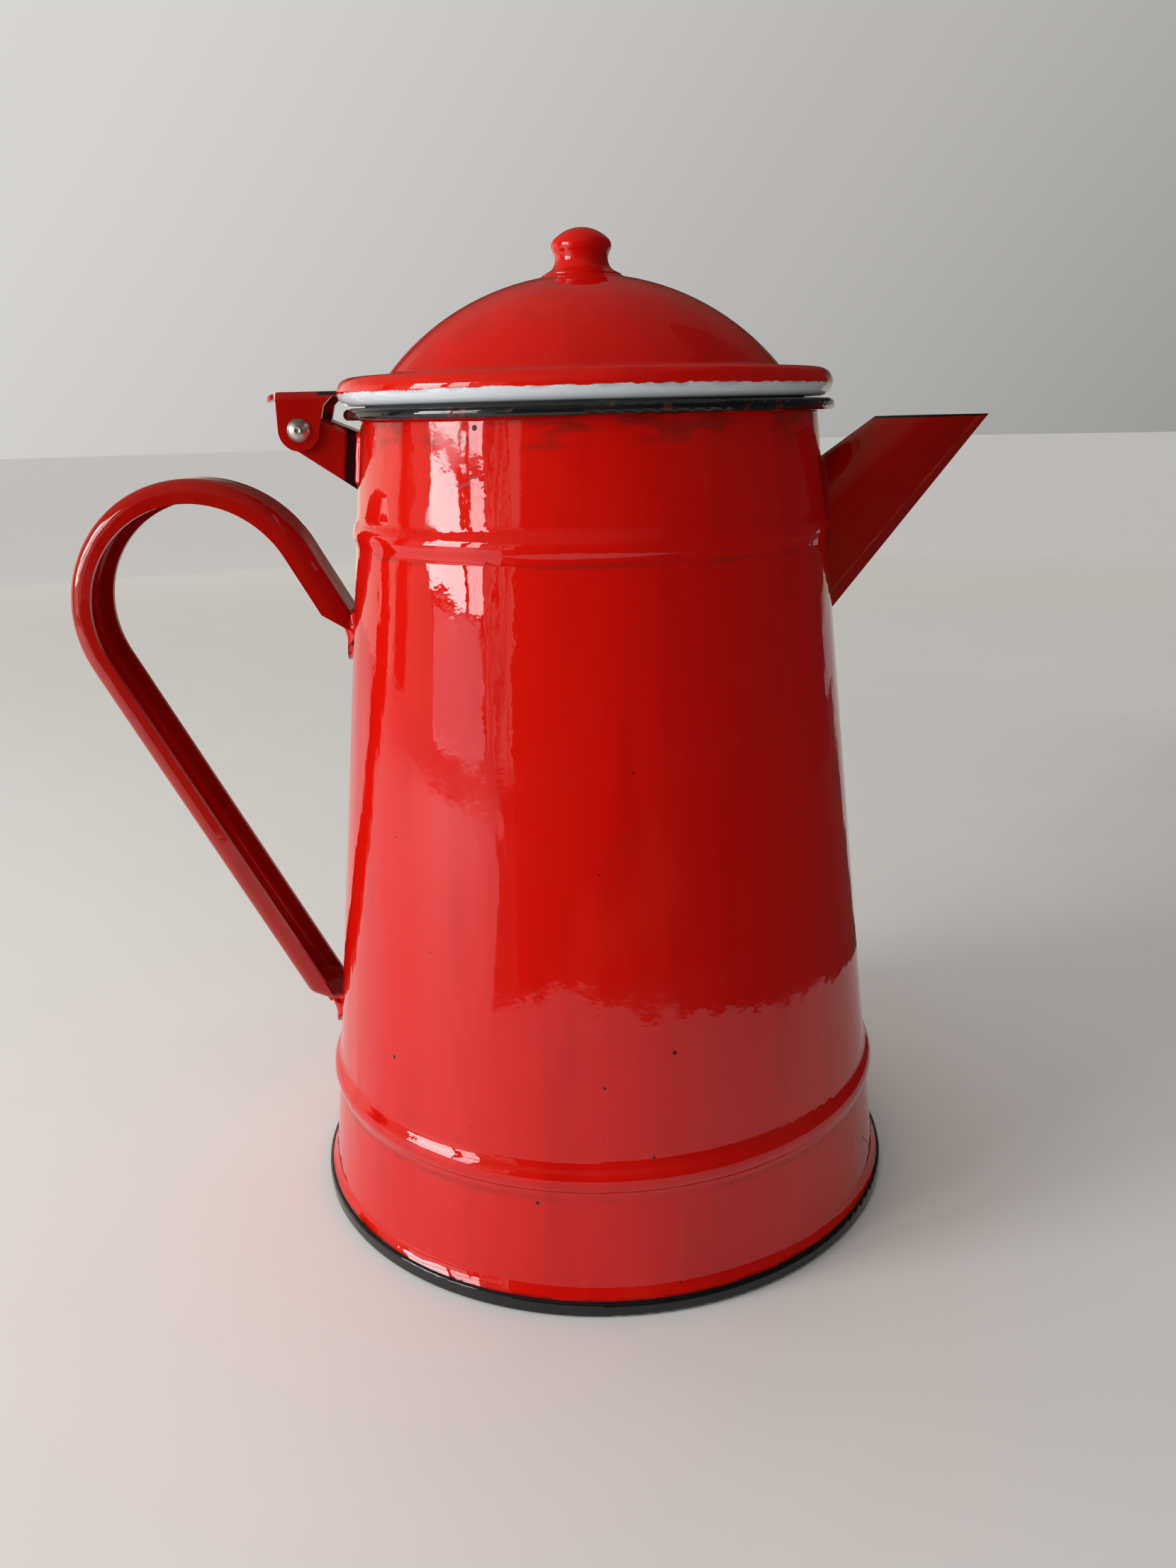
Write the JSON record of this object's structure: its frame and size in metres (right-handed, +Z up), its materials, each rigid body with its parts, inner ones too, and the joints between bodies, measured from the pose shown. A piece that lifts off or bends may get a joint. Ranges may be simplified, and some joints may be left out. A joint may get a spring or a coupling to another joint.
{
  "type": "coffee pot",
  "caption": "Tall tapered enamelled coffee pot with a folded V spout, a strap handle and a domed lid with a knob, hinged on a rivet above the handle.",
  "frame": {"origin": "centre of the black foot ring, in the plane that the pot stands on", "axes": "+Z up along the pot's axis, +X toward the spout, -X toward the handle and the hinge, +Y completes a right-handed frame"},
  "size_m": [0.2118, 0.144, 0.2241],
  "materials": {
    "red_enamel": "glossy vitreous enamel on sheet steel",
    "black_enamel": "glossy vitreous enamel on sheet steel",
    "bare_steel": "dull hammered rivet head"
  },
  "bodies": {
    "pot": {"body_shell": "red_enamel", "base_pan": "black_enamel", "spout_shell": "red_enamel", "handle_strap": "red_enamel", "hinge_bracket": "red_enamel", "hinge_rivet": "bare_steel"},
    "lid": {"lid_dome": "red_enamel", "lid_knob": "red_enamel", "hinge_leaf": "red_enamel"}
  },
  "joints": [
    {"name": "lid_hinge", "type": "hinge", "parent": "pot", "child": "lid", "pos_m": [-0.0644, 0, 0.1831], "axis": [0, -1, 0], "range_deg": [0, 155]}
  ]
}
